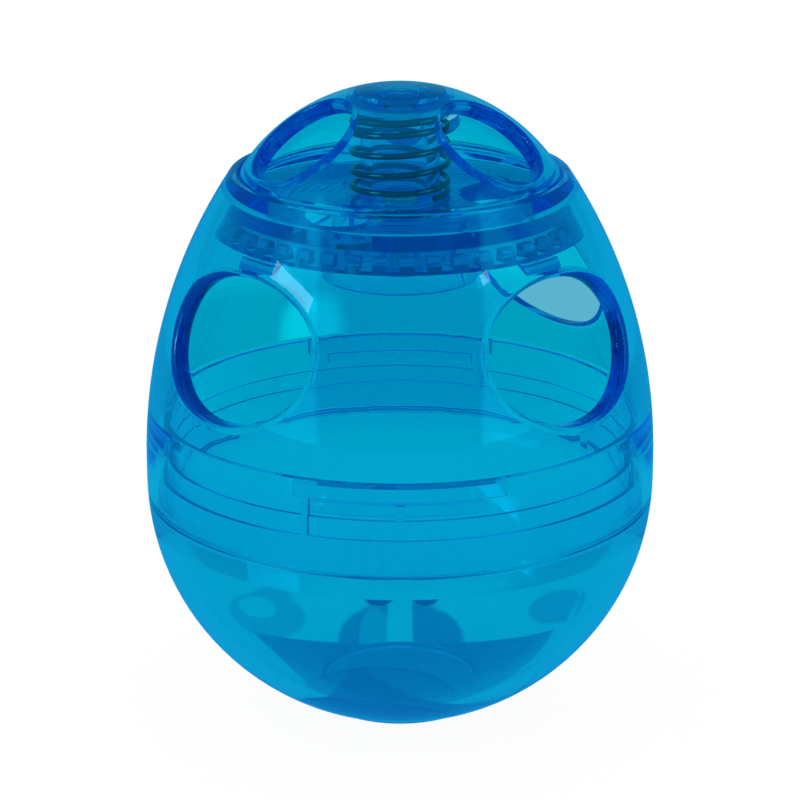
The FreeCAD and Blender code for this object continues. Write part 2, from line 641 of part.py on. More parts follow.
def make_apex_cap():
    """The cap that closes the top of the stem, flush with the dome, and its plug."""
    body = new_body("apex_cap")
    outline = new_sketch(body, "cap_outline")
    draw_profile(outline, [
        (0, "cap_bottom_z"),
        ("plug_bore", "cap_bottom_z"),
        ("plug_bore", "plug_bottom_z"),
        ("plug_radius", "plug_bottom_z"),
        ("plug_radius", "cap_bottom_z"),
        ("cap_radius", "cap_bottom_z"),
        ("cap_radius", "cap_edge_z"),
        (0, "cap_top_z", "y"),
    ], {6: DOME_CENTER})
    revolve(body, "Revolution", "cap_turned", outline)


def make_deck_plate():
    """The plate that closes the bottom of the recess, with its ports, sleeve, skirt and teeth."""
    body = new_body("deck_plate")
    outline = new_sketch(body, "deck_outline")
    draw_profile(outline, [
        ("bore_radius", "sleeve_bottom_z"),
        ("sleeve_radius", "sleeve_bottom_z"),
        ("sleeve_radius", "deck_under_z"),
        ("deck_under_radius", "deck_under_z"),
        ("skirt_inner_radius", "deck_bottom_z"),
        ("deck_bottom_radius", "deck_bottom_z"),
        ("deck_top_radius", "deck_top_z"),
        ("bore_radius", "deck_top_z"),
    ])
    turned = revolve(body, "Revolution", "deck_turned", outline)

    outline = new_sketch(body, "port_outline", "XY_Plane", "deck_top_z", "port_place")
    draw_circle(outline, "port_ring_radius", "port_radius")
    port = extrude(body, "Pocket", "port", outline, "Sizes.deck_thickness")
    ports = check_change(turned, repeat(body, "ports", [port], "port_count"), grows=False)
    ports = round_edges(body, "port_rounds", ports, on_port, "port_round")

    outline = new_sketch(body, "tooth_outline", "XY_Plane", "deck_bottom_z")
    draw_bar(outline, "tooth_inner_radius", "tooth_outer_radius", "tooth_width")
    tooth = extrude(body, "Pad", "tooth", outline, "Sizes.tooth_height")
    check_change(ports, repeat(body, "teeth", [tooth], "tooth_count"), grows=True)


def on_port(edge):
    """True for the upper edge of a port in the deck plate."""
    curve = edge.Curve
    return (isinstance(curve, Part.Circle) and abs(curve.Radius - size("port_radius")) < 1e-4
            and abs(curve.Center.z - size("deck_top_z")) < 1e-4)


def make_hub_cap():
    """The cup under the deck plate that the screw draws up against the stem."""
    body = new_body("hub_cap")
    outline = new_sketch(body, "hub_outline")
    draw_profile(outline, [
        ("screw_bore", "stem_bottom_z"),
        ("hub_radius", "stem_bottom_z"),
        ("hub_radius", "hub_bottom_z"),
        ("hub_bore", "hub_bottom_z"),
        ("hub_bore", "hub_web_z"),
        ("post_radius", "hub_web_z"),
        ("post_radius", "post_bottom_z"),
        (0, "post_bottom_z"),
        (0, "pilot_bottom_z"),
        ("screw_bore", "pilot_bottom_z"),
    ])
    turned = revolve(body, "Revolution", "hub_turned", outline)
    turned = round_edges(body, "hub_rounds", turned, ring_at(("hub_radius", "stem_bottom_z")), "hub_round")

    outline = new_sketch(body, "rib_outline", "XY_Plane", height="rib_bottom_z")
    draw_bar(outline, "rib_inner_radius", "rib_outer_radius", "rib_width")
    rib = extrude(body, "Pad", "rib", outline, "Sizes.rib_height")
    check_change(turned, repeat(body, "ribs", [rib], "rib_count"), grows=True)


def make_stem_screw():
    """The screw on the floor of the stem, which holds the hub cap."""
    body = new_body("stem_screw")
    outline = new_sketch(body, "screw_outline")
    draw_profile(outline, [
        (0, "screw_tip_z"),
        ("screw_radius", "screw_tip_z"),
        ("screw_radius", "stem_floor_z"),
        ("head_radius", "stem_floor_z"),
        ("head_radius", "head_top_z"),
        (0, "head_top_z"),
    ])
    turned = revolve(body, "Revolution", "screw_turned", outline)
    turned = round_edges(body, "head_rounds", turned, ring_at(("head_radius", "head_top_z")), "head_round")

    outline = new_sketch(body, "cross_outline", "XY_Plane", height="head_top_z")
    draw_bar(outline, 0, "cross_reach", "cross_width")
    arm = extrude(body, "Pocket", "cross_arm", outline, "Sizes.cross_depth")
    check_change(turned, repeat(body, "cross", [arm], "rib_count"), grows=False)


def make_spring_washer():
    """The plain washer between the spring and the boss."""
    body = new_body("spring_washer")
    outline = new_sketch(body, "washer_outline")
    draw_profile(outline, [
        ("washer_bore", "washer_bottom_z"),
        ("washer_radius", "washer_bottom_z"),
        ("washer_radius", "washer_top_z"),
        ("washer_bore", "washer_top_z"),
    ])
    revolve(body, "Revolution", "washer_turned", outline)


def biarc(start, start_way, end, end_way):
    """Two tangent arcs from one point and direction to another."""
    chord = end - start
    square = 2 * (1 - start_way.dot(end_way))
    linear = chord.dot(start_way + end_way)
    reach = (math.sqrt(linear ** 2 + square * chord.dot(chord)) - linear) / square
    first_corner = start + start_way * reach
    last_corner = end - end_way * reach
    joint = (first_corner + last_corner) / 2
    arcs = []
    for low, corner, high in ((start, first_corner, joint), (joint, last_corner, end)):
        middle = (low + high) / 2
        half_turn = (corner - low).getAngle(high - corner) / 2
        bulge = math.tan(half_turn / 2) / math.tan(half_turn)
        arcs.append(Part.Arc(low, middle + (corner - middle) * bulge, high).toShape())
    return arcs


def make_compression_spring():
    """The wire spring round the stem: open turns between two nearly closed end turns."""
    radius, wire = size("coil_radius"), size("wire_radius")
    turns = round(size("spring_turns"))
    low, high = size("wire_low_z"), size("wire_high_z")
    end_rise = size("end_turn_rise")
    open_rise = (high - low - 2 * end_rise) / (turns - 2)
    heights = [low]
    for quarter in range(4 * turns):
        rise = open_rise if 4 <= quarter < 4 * (turns - 1) else end_rise
        heights.append(heights[-1] + rise / 4)

    points = []
    ways = []
    for i, z in enumerate(heights):
        angle = math.radians(90 * i)
        before, after = max(i - 1, 0), min(i + 1, 4 * turns)
        climb = (heights[after] - heights[before]) / (after - before)
        points.append(V(radius * math.cos(angle), radius * math.sin(angle), z))
        ways.append(V(-math.sin(angle), math.cos(angle), climb / (radius * math.pi / 2)).normalize())
    edges = []
    for i in range(4 * turns):
        edges += biarc(points[i], ways[i], points[i + 1], ways[i + 1])
    path = Part.Wire(edges)
    section = Part.Wire([Part.Circle(points[0], ways[0], wire).toShape()])
    spring = doc.addObject("Part::Feature", "compression_spring")
    spring.Label = "compression_spring"
    spring.Shape = path.makePipeShell([section], True, False)
    spring.Placement = FreeCAD.Placement(V(), FreeCAD.Rotation(UP, 0))

    samples = path.discretize(Number=60 * turns)
    half_turn = 30
    least = min(samples[i].distanceToPoint(samples[j])
                for i in range(len(samples)) for j in range(i + half_turn, len(samples)))
    print(f"spring: {turns} turns, open turns rise {open_rise:.2f}, least gap {least - 2 * wire:.3f}")
    print(f"spring: volume {spring.Shape.Volume:.2f}, section by length "
          f"{math.pi * wire ** 2 * path.Length:.2f}")


make_lower_bowl()
make_upper_shell()
make_deck_plate()
make_selector_dome()
make_apex_cap()
make_hub_cap()
make_stem_screw()
make_spring_washer()
make_compression_spring()
doc.recompute()

stop_if_failed()
os.makedirs("parts", exist_ok=True)
for item in doc.Objects:
    if item.isDerivedFrom("PartDesign::Body") or item.Name == "compression_spring":
        shape = item.Shape
        if shape.isNull() or not shape.isValid() or len(shape.Solids) != 1:
            raise ValueError(f"{item.Label} is not one valid solid")
        shape.exportStep(f"parts/{item.Label}.step")
        box = shape.BoundBox
        print(f"{item.Label}: {shape.Volume:.1f} mm3, {len(shape.Faces)} faces, "
              f"z {box.ZMin:.2f} to {box.ZMax:.2f}, x {box.XMin:.2f} to {box.XMax:.2f}")
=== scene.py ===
"""The looks of a cat treat dispenser toy: an egg of clear blue plastic with a sprung selector dome."""

import math

import bpy
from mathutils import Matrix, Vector


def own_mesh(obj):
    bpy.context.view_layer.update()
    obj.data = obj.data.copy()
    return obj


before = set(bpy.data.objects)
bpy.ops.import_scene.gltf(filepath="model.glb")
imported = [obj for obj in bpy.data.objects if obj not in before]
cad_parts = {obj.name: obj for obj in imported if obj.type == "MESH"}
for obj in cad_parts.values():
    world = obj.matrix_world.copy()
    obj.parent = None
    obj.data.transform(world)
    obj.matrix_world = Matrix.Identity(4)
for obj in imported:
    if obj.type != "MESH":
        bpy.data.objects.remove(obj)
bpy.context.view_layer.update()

bl_info = {
    "name": "Treat Dispenser Egg",
    "version": (1, 0, 0),
    "blender": (4, 5, 0),
    "location": "View3D > Sidebar > Treat Egg",
    "description": "Gives the clear treat dispenser toy its finishes and its studio",
    "category": "Object",
}

MILLIMETRES = 1000.0  # in one metre: the floor's pattern is drawn in millimetres
TOY_MIDDLE = 0.0435  # height that the camera looks at
LAMP_AIM = 0.065  # height that the lamps point at
LENS_RATIO = 400.0 / 3000.0  # half the picture's width over the lens's distance from it
FLOOR_HALF, FLOOR_DROP = 3.0, 0.0002
BELT_HEIGHT = 0.0345
CAMERA_AZIMUTH = -45.0  # degrees from +X, midway between the two front windows
ACRYLIC_IOR, SPECULAR_LEVEL = 1.49, 0.3
RING_WAVES, RING_HEIGHT, MARK_HEIGHT = 5200.0, 0.15, 0.00004
BOARD_LIGHT = 1.08  # a little over 1, for what the board's own grey takes away
BOARD_SHARE = 0.88  # how much of the board's look is its own light, for the rays that look at it
CLEAR_BOUNCES, SHINY_BOUNCES = 40, 16
WHITE = (1.0, 1.0, 1.0, 1.0)
# Painted blue shadow: the toy's coloured shadow, drawn grey-cyan on the floor far behind it.
BLUE_SHADOW_COLOUR = (0.05, 0.42, 0.58, 1.0)  # what shows straight through two openings
LAMP_COLOUR = (0.5, 0.85, 1.0)
# Shares of the painted blue shade that the far floor's painted shade band and the drawn shadow keep, in red,
# green and blue.
FAR_SHADE_SHARES, SHADE_SHARES = (0.8, 0.80, 0.90), (0.2, 0.12, 0.55)
# NEAR_SHARE lifts the painted blue shade near the toy. The streak is a painted light patch on the floor
# behind the toy, seen only through the plastic.
NEAR_SHARE, PAINTED_LIGHT_SHARE = 1.15, 0.6
PAINTED_LIGHT_COLOUR = (0.5, 0.95, 0.95, 1.0)
CARD_COLOUR = (0.0, 0.02, 0.04, 1.0)
BEHIND_COLOUR = (0.05, 0.40, 0.56, 1.0)
PANEL_COLOUR = (0.02, 1.9, 2.8, 1.0)
# The floor's drawn ovals of painted shadow and painted light: middle and reach, in millimetres to the
# camera's right and towards it.
LEFT_LOBE, RIGHT_LOBE = ((-2.0, -12.0), (7.7, 16.0)), ((2.0, -12.0), (8.0, 16.0))
LOBE_CORE = ((-4.0, -14.0), (2.4, 13.0))
LEFT_NECK, RIGHT_NECK = ((-3.4, -29.2), (2.6, 2.0)), ((4.0, -29.2), (2.4, 2.0))
LEFT_CAP, RIGHT_CAP = ((-4.6, -33.8), (3.4, 1.8)), ((4.6, -33.8), (2.6, 1.8))
LEFT_CURL, LEFT_CURL_EYE = ((-22.5, -22.0), (7.3, 9.8)), ((-24.0, -25.0), (3.6, 4.8))
RIGHT_CURL = ((27.5, -24.0), (6.3, 7.5))
FOOT_OUTSIDE, FOOT_INSIDE = ((-3.0, 7.5), (11.6, 12.0)), ((-3.0, 7.5), (10.8, 11.2))
# Two painted blue shadows of the toy on the floor far behind it, which the camera sees straight through two
# openings.
NEAR_BLUE_SHADOW, FAR_BLUE_SHADOW = ((30.5, -193.0), (14.0, 34.0)), ((13.0, -350.0), (6.0, 38.0))
# A painted light streak on the floor behind the toy.
PAINTED_LIGHT_STREAK = ((-20.0, -181.0), (6.5, 26.0))
# How dark each part of the pattern is. The lobes' core takes some of their darkness away.
FAN_DARK, LOBE_DARK, CORE_SHARE, CAP_DARK = 0.78, 0.68, 0.4, 0.6
LEFT_CURL_DARK, RIGHT_CURL_DARK, FOOT_DARK, RIM_DARK = 0.35, 0.45, 0.88, 1.3
# Each lamp's name, azimuth and elevation in degrees, size in metres and radiance.
SOFTBOXES = (
    ("left_softbox", -63.0, 24.0, (0.46, 0.15), 4.0),
    ("right_softbox", 51.0, 31.5, (0.09, 0.045), 4.0),
)


class Signal:
    """One socket of a finish. Arithmetic on it adds Math nodes, so formulas read as plain expressions."""

    def __init__(self, finish, socket):
        self.finish = finish
        self.socket = socket

    def math(self, operation, *others):
        values = dict(enumerate((self,) + others))
        return self.finish.add("ShaderNodeMath", {"operation": operation}, values)

    def __add__(self, other):
        return self.math("ADD", other)

    def __radd__(self, other):
        return self.math("ADD", other)

    def __sub__(self, other):
        return self.math("SUBTRACT", other)

    def __rsub__(self, other):
        return self.math("MULTIPLY", -1.0) + other

    def __mul__(self, other):
        return self.math("MULTIPLY", other)

    def __rmul__(self, other):
        return self.math("MULTIPLY", other)

    def __truediv__(self, other):
        return self.math("DIVIDE", other)

    def __rtruediv__(self, other):
        return self.math("POWER", -1.0) * other

    def __pow__(self, other):
        return self.math("POWER", other)

    def __abs__(self):
        return self.math("ABSOLUTE")

    def most(self, other):
        return self.math("MAXIMUM", other)

    def ramp(self, low, high, at_low=0.0, at_high=1.0):
        """A soft step from one value to another while this one runs from low to high."""
        values = {"Value": self, "From Min": low, "From Max": high, "To Min": at_low, "To Max": at_high}
        return self.finish.add("ShaderNodeMapRange", {"interpolation_type": "SMOOTHSTEP"}, values)


class Finish:
    """A node tree, of a material or of the world, and the one method that adds nodes to it."""

    def __init__(self, owner):
        owner.use_nodes = True
        self.owner = owner
        self.tree = owner.node_tree
        self.tree.nodes.clear()

    def add(self, kind, settings=None, values=None, output=0):
        node = self.tree.nodes.new(kind)
        for name, setting in (settings or {}).items():
            setattr(node, name, setting)
        for name, value in (values or {}).items():
            if isinstance(value, Signal):
                self.tree.links.new(value.socket, node.inputs[name])
            else:
                node.inputs[name].default_value = value
        return Signal(self, node.outputs[output]) if node.outputs else node

    def place(self):
        return self.add("ShaderNodeTexCoord", output="Object")

    def parts_of(self, vector):
        return [self.add("ShaderNodeSeparateXYZ", None, {0: vector}, axis) for axis in range(3)]

    def noise(self, place, scale, detail=2.0):
        values = {"Vector": place, "Scale": scale, "Detail": detail}
        return self.add("ShaderNodeTexNoise", {"noise_dimensions": "3D"}, values)

    def stretched(self, place, scales):
        """The place with each of its axes scaled, for patterns that are longer one way."""
        return self.add("ShaderNodeVectorMath", {"operation": "MULTIPLY"}, {0: place, 1: scales})

    def mix(self, factor, first, second):
        """A colour between two others."""
        return self.add("ShaderNodeMix", {"data_type": "RGBA"}, {0: factor, 6: first, 7: second}, 2)

    def bump(self, height, strength, distance):
        values = {"Height": height, "Strength": strength, "Distance": distance}
        return self.add("ShaderNodeBump", None, values)

    def ray(self, kind):
        return self.add("ShaderNodeLightPath", output=kind)


def rgba(colour):
    return (colour[0], colour[1], colour[2], 1.0)


class EggPlastic(bpy.types.PropertyGroup):
    tint: bpy.props.FloatVectorProperty(
        name="Surface tint", description="What each pair of faces of a wall lets through",
        subtype="COLOR", default=(0.02, 0.92, 0.93), min=0.0, max=1.0)
    # Painted glow: each face emits this blue, in place of light that the dye scatters.
    scatter_glow: bpy.props.FloatVectorProperty(
        name="Haze", description="Blue light that the dye scatters from each face",
        subtype="COLOR", default=(0.0, 0.009, 0.026), min=0.0, max=1.0)
    dye: bpy.props.FloatVectorProperty(
        name="Dye", description="Colour that the plastic keeps as light goes through it",
        subtype="COLOR", default=(0.0, 0.926, 0.985), min=0.0, max=1.0)
    depth: bpy.props.FloatProperty(
        name="Dye strength", description="How fast the plastic takes up light, per metre",
        default=1100.0, min=0.0)
    polish: bpy.props.FloatProperty(
        name="Polish", description="Roughness of an untouched face", default=0.015, min=0.0, max=1.0)
    ripple: bpy.props.FloatProperty(
        name="Flow ripple", description="Height of the slow waves that moulding leaves in a wall",
        default=0.00002, unit="LENGTH")


class EggSteel(bpy.types.PropertyGroup):
    plate: bpy.props.FloatVectorProperty(
        name="Plated steel", description="Colour of the screw and the washer",
        subtype="COLOR", default=(0.72, 0.74, 0.77), min=0.0, max=1.0)
    # Painted shade: the wire's colour is far darker than bright steel, for the dark studio front that it
    # mirrors.
    wire: bpy.props.FloatVectorProperty(
        name="Spring wire", description="Colour of the spring's drawn wire",
        subtype="COLOR", default=(0.09, 0.12, 0.13), min=0.0, max=1.0)


class EggStudio(bpy.types.PropertyGroup):
    floor_colour: bpy.props.FloatVectorProperty(
        name="Floor colour", description="Colour of the pale floor",
        subtype="COLOR", default=(0.8, 0.8, 0.8), min=0.0, max=1.0)
    distance: bpy.props.FloatProperty(
        name="Camera distance", description="From the lens to the middle of the toy",
        default=0.4134, unit="LENGTH")
    elevation: bpy.props.FloatProperty(
        name="Camera elevation", description="How far the camera looks down",
        default=math.radians(18.5), unit="ROTATION")
    glow: bpy.props.FloatVectorProperty(
        name="Side glow", description="What the polished walls mirror from the studio's sides",
        subtype="COLOR", default=(0.01, 0.34, 0.66), min=0.0, max=2.0)
    # Painted shade: rays through the clear walls see the studio as a dim blue, the toy's own coloured
    # shadow, not white.
    through_shade: bpy.props.FloatVectorProperty(
        name="Seen through the toy", description="The studio as the clear walls show it",
        subtype="COLOR", default=(0.10, 0.485, 0.535), min=0.0, max=2.0)


def clear_plastic(name, look, wear=None, marks=None, lit_share=1.0):
    """Clear blue plastic. Wear adds roughness and marks add height, each from its place in metres.

    The last argument, below 1, makes a darker copy of the same plastic: painted shade, with less green and
    blue let through and a dimmer painted glow.
    """
    finish = Finish(bpy.data.materials.new(name))
    place = finish.place()
    flow = finish.noise(finish.stretched(place, (1.0, 1.0, 0.6)), 85.0, 1.0)
    hairs = finish.add("ShaderNodeTexVoronoi", {"feature": "DISTANCE_TO_EDGE"},
                       {"Vector": finish.stretched(place, (40.0, 260.0, 75.0)), "Scale": 1.0})
    scratches = hairs.ramp(0.0, 0.012, 0.10, 0.0) * finish.noise(place, 130.0).ramp(0.55, 0.75)
    smears = finish.noise(place, 60.0, 4.0).ramp(0.5, 0.8, 0.0, 0.012)
    roughness = scratches + smears + look.polish
    if wear:
        roughness = roughness + wear(finish, place)
    tint = (look.tint[0], look.tint[1] * lit_share, look.tint[2] * (0.5 + 0.5 * lit_share))
    shaded = finish.mix(finish.noise(place, 45.0), rgba(tint), rgba([part * 0.985 for part in tint]))
    normal = finish.bump(flow, 1.0, look.ripple)
    if marks:
        normal = finish.add("ShaderNodeBump", None, {"Height": marks(finish, place), "Strength": 1.0,
                                                     "Distance": MARK_HEIGHT, "Normal": normal})
    # The emission is a painted glow for light that the dye scatters; it is dimmed on the darker copies.
    shader = finish.add("ShaderNodeBsdfPrincipled", None, {
        "Base Color": shaded, "Roughness": roughness, "IOR": ACRYLIC_IOR,
        "Specular IOR Level": SPECULAR_LEVEL, "Transmission Weight": 1.0, "Normal": normal,
        "Emission Color": rgba(look.scatter_glow), "Emission Strength": lit_share})
    dye = finish.add("ShaderNodeVolumeAbsorption", None, {"Color": rgba(look.dye), "Density": look.depth})
    finish.add("ShaderNodeOutputMaterial", None, {"Surface": shader, "Volume": dye})
    return finish.owner


def steel(name, colour, roughness, grain):
    """Bright steel with the fine lines of its drawing or turning, stretched by the given scales."""
    finish = Finish(bpy.data.materials.new(name))
    place = finish.place()
    lines = finish.noise(finish.stretched(place, grain), 1.0, 3.0)
    spots = finish.noise(place, 900.0, 2.0)
    shade = finish.mix(spots, rgba([part * 0.85 for part in colour]), rgba(colour))
    shader = finish.add("ShaderNodeBsdfPrincipled", None, {
        "Base Color": shade, "Metallic": 1.0, "Roughness": roughness + 0.12 * lines,
        "Normal": finish.bump(lines, 0.25, 0.00003)})
    finish.add("ShaderNodeOutputMaterial", None, {"Surface": shader})
    return finish.owner


def dress(node, material):
    """Gives a carried-over piece its finish."""
    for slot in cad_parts[node].material_slots:
        slot.material = material


def foot_wear(finish, place):
    """Scuffs where the toy stands, on the lowest millimetre of the bowl."""
    height = finish.parts_of(place)[2]
    return height.ramp(0.0002, 0.0012, 1.0, 0.0) * finish.noise(place, 700.0, 4.0) * 0.35


def belt_wear(finish, place):
    """Faint scuffs at the widest place, where the toy rolls."""
    height = finish.parts_of(place)[2]
    belt = abs(height - BELT_HEIGHT).ramp(0.001, 0.004, 1.0, 0.0)
    scuffs = finish.noise(finish.stretched(place, (900.0, 900.0, 3500.0)), 1.0, 3.0)
    return belt * scuffs.ramp(0.6, 0.8) * 0.08


def ring_marks(finish, place):
    """Faint turned rings, as the mould of a round plate leaves them."""
    across, along = finish.parts_of(place)[:2]
    radius = (across * across + along * along).math("SQRT")
    return (radius * RING_WAVES).math("SINE") * RING_HEIGHT


class EGG_OT_bowl(bpy.types.Operator):
    """Gives the bowl its clear plastic, with ripples in the wall and scuffs under the foot"""
    bl_idname = "egg.bowl"
    bl_label = "Lower bowl"

    def execute(self, context):
        dress("lower_bowl", clear_plastic("bowl_plastic", context.scene.egg_plastic, foot_wear))
        return {"FINISHED"}


class EGG_OT_shell(bpy.types.Operator):
    """Gives the upper shell its clear plastic, with a worn belt where the toy rolls"""
    bl_idname = "egg.shell"
    bl_label = "Upper shell"

    def execute(self, context):
        dress("upper_shell", clear_plastic("shell_plastic", context.scene.egg_plastic, belt_wear))
        return {"FINISHED"}


class EGG_OT_deck(bpy.types.Operator):
    """Gives the deck plate and the hub cap their clear plastic, with faint turned rings"""
    bl_idname = "egg.deck"
    bl_label = "Deck plate and hub cap"

    def execute(self, context):
        plastic = context.scene.egg_plastic
        # Painted shade: the deck plate gets a darker copy of the plastic.
        dress("deck_plate", clear_plastic("deck_plastic", plastic, marks=ring_marks, lit_share=0.5))
        dress("hub_cap", clear_plastic("cup_plastic", plastic, marks=ring_marks))
        return {"FINISHED"}


class EGG_OT_dome(bpy.types.Operator):
    """Gives the selector dome and its cap their polished clear plastic"""
    bl_idname = "egg.dome"
    bl_label = "Selector dome and cap"

    def execute(self, context):
        plastic = context.scene.egg_plastic
        dress("selector_dome", clear_plastic("dome_plastic", plastic))
        # Painted shade: the apex cap gets a darker copy of the plastic.
        dress("apex_cap", clear_plastic("cap_plastic", plastic, marks=ring_marks, lit_share=0.6))
        return {"FINISHED"}


class EGG_OT_spring(bpy.types.Operator):
    """Gives the spring the look of drawn steel wire, and its own copy of its mesh"""
    bl_idname = "egg.spring"
    bl_label = "Spring"

    def execute(self, context):
        colour = context.scene.egg_steel.wire
        # Painted shade: the wire is coloured far darker than steel, for the dark studio front that it
        # mirrors.
        dress("compression_spring", steel("spring_wire", colour, 0.10, (900.0, 900.0, 9000.0)))
        spring, foot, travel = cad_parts["compression_spring"], 0.0727, 0.0015
        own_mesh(spring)
        return {"FINISHED"}


class EGG_OT_fastening(bpy.types.Operator):
    """Gives the screw and the washer the look of bright plated steel"""
    bl_idname = "egg.fastening"
    bl_label = "Screw and washer"

    def execute(self, context):
        plated = steel("bright_plate", context.scene.egg_steel.plate, 0.12, (3000.0, 3000.0, 500.0))
        for node in ("stem_screw", "spring_washer"):
            dress(node, plated)
        return {"FINISHED"}


class EGG_OT_stage(bpy.types.Operator):
    """Makes the floor, the lamps, the white surround and the camera"""
    bl_idname = "egg.stage"
    bl_label = "Stage"

    def execute(self, context):
        scene = context.scene
        studio = scene.egg_studio
        make_floor(scene, studio)
        make_surround(scene, studio)
        make_camera(scene, studio)
        for softbox in SOFTBOXES:
            make_softbox(scene, *softbox)
        scene.view_settings.view_transform = "Standard"
        scene.cycles.max_bounces = CLEAR_BOUNCES
        scene.cycles.transmission_bounces = CLEAR_BOUNCES
        scene.cycles.glossy_bounces = SHINY_BOUNCES
        scene.cycles.use_denoising = True
        return {"FINISHED"}


def toward_camera(azimuth=0.0, elevation=0.0):
    """The direction from the toy to the camera, turned to the camera's right and raised, in degrees."""
    turn = math.radians(azimuth + CAMERA_AZIMUTH)
    rise = math.radians(elevation)
    return Vector((math.cos(turn) * math.cos(rise), math.sin(turn) * math.cos(rise), math.sin(rise)))


def view_axes(finish, place):
    """Where a point lies in the camera's terms: to its right, towards it, and up."""
    along = [finish.add("ShaderNodeVectorMath", {"operation": "DOT_PRODUCT"},
                        {0: place, 1: toward_camera(azimuth)}, "Value") for azimuth in (90.0, 0.0)]
    return along + [finish.parts_of(place)[2]]


def oval(across, ahead, center, reach, power=2.0, soft=0.15):
    """1 inside an oval, 0 outside, with a soft edge."""
    far = abs((across - center[0]) / reach[0]) ** power + abs((ahead - center[1]) / reach[1]) ** power
    return far.ramp(1.0 - soft, 1.0 + soft, 1.0, 0.0)


def thrown_shade(finish, across, ahead):
    """How dark the board is drawn under and behind the toy, in place of what the real bowl's walls bend."""
    down, low = ahead + 14.7, ahead + 13.2
    fan = ((ahead + 13.2 + abs(across) * 0.02).ramp(-0.25, 0.25)
           * (across + 25.6 - down * 0.70 + down * down * 0.0082).ramp(-0.5, 0.5)
           * (25.8 - low * 0.20 - low * low * 0.0135 - across).ramp(-0.5, 0.5))
    left_lobe = oval(across, ahead, *LEFT_LOBE, 2.5) * across.ramp(-2.3, -1.7, 1.0, 0.0)
    right_lobe = oval(across, ahead, *RIGHT_LOBE, 2.5) * across.ramp(1.7, 2.3)
    core = oval(across, ahead, *LOBE_CORE, 2.5)
    necks = oval(across, ahead, *LEFT_NECK).most(oval(across, ahead, *RIGHT_NECK))
    caps = oval(across, ahead, *LEFT_CAP).most(oval(across, ahead, *RIGHT_CAP))
    left_curl = oval(across, ahead, *LEFT_CURL) - oval(across, ahead, *LEFT_CURL_EYE)
    right_curl = oval(across, ahead, *RIGHT_CURL)
    foot = oval(across, ahead, *FOOT_OUTSIDE, 2.0, 0.06)
    rim = foot - oval(across, ahead, *FOOT_INSIDE, 2.0, 0.06)
    lobes = (left_lobe.most(right_lobe) - core * CORE_SHARE) * LOBE_DARK
    shade = (fan * FAN_DARK).most(lobes).most(necks).most(caps * CAP_DARK)
    shade = shade.most(left_curl * LEFT_CURL_DARK).most(right_curl * RIGHT_CURL_DARK)
    return shade.most(foot * FOOT_DARK).most(rim * RIM_DARK)


def make_floor(scene, studio):
    mesh = bpy.data.meshes.new("floor")
    corners = [(FLOOR_HALF * side, FLOOR_HALF * end, 0.0)
               for side, end in ((-1, -1), (1, -1), (1, 1), (-1, 1))]
    mesh.from_pydata(corners, [], [(0, 1, 2, 3)])
    floor = bpy.data.objects.new("floor", mesh)
    floor.location.z = -FLOOR_DROP
    scene.collection.objects.link(floor)

    finish = Finish(bpy.data.materials.new("white_board"))
    across, ahead = view_axes(finish, finish.stretched(finish.place(), (MILLIMETRES,) * 3))[:2]
    seen, glossy, through = (
        finish.ray(kind) for kind in ("Is Camera Ray", "Is Glossy Ray", "Is Transmission Ray"))
    mirrored = glossy * (1.0 - through)
    shade = thrown_shade(finish, across, ahead) * through
    # Painted blue shadows on the floor far behind the toy, shown to the camera's own rays.
    painted_blue_shadows = oval(across, ahead, *NEAR_BLUE_SHADOW, 2.0, 0.2).most(oval(across, ahead, *FAR_BLUE_SHADOW, 2.0, 0.2)) * seen
    # Painted shade: rays through the plastic see the floor in the blue shade colour instead of white.
    colour = finish.mix(through, WHITE, rgba([part * NEAR_SHARE for part in studio.through_shade]))
    # Painted shade: a darker band on the floor 112 to 235 mm behind the toy, seen only through the plastic.
    far = ahead.ramp(-145.0, -112.0, 1.0, 0.0) * ahead.ramp(-235.0, -200.0) * through
    far_shade_colour = rgba([part * share for part, share in zip(studio.through_shade, FAR_SHADE_SHARES)])
    colour = finish.mix(far, colour, far_shade_colour)
    # Painted light: a pale streak on the floor behind the toy, seen only through the plastic.
    painted_light_streak = oval(across, ahead, *PAINTED_LIGHT_STREAK, 2.0, 0.7) * through
    colour = finish.mix(painted_light_streak * PAINTED_LIGHT_SHARE, colour, PAINTED_LIGHT_COLOUR)
    shade_colour = rgba([part * share for part, share in zip(studio.through_shade, SHADE_SHARES)])
    colour = finish.mix(shade, colour, shade_colour)
    colour = finish.mix(painted_blue_shadows, colour, BLUE_SHADOW_COLOUR)
    colour = finish.mix(mirrored, colour, rgba(studio.glow))
    grain = finish.noise(finish.place(), 900.0, 3.0)
    paper = finish.mix(grain, rgba(studio.floor_colour), rgba([part * 0.97 for part in studio.floor_colour]))
    board = finish.add("ShaderNodeBsdfDiffuse", None, {"Color": paper})
    glow = finish.add("ShaderNodeEmission", None, {"Color": colour, "Strength": BOARD_LIGHT})
    rays = seen.most(glossy).most(through)
    share = rays * BOARD_SHARE + mirrored * (1.0 - BOARD_SHARE)
    mixed = finish.add("ShaderNodeMixShader", None, {0: share, 1: board, 2: glow})
    finish.add("ShaderNodeOutputMaterial", None, {"Surface": mixed})
    mesh.materials.append(finish.owner)


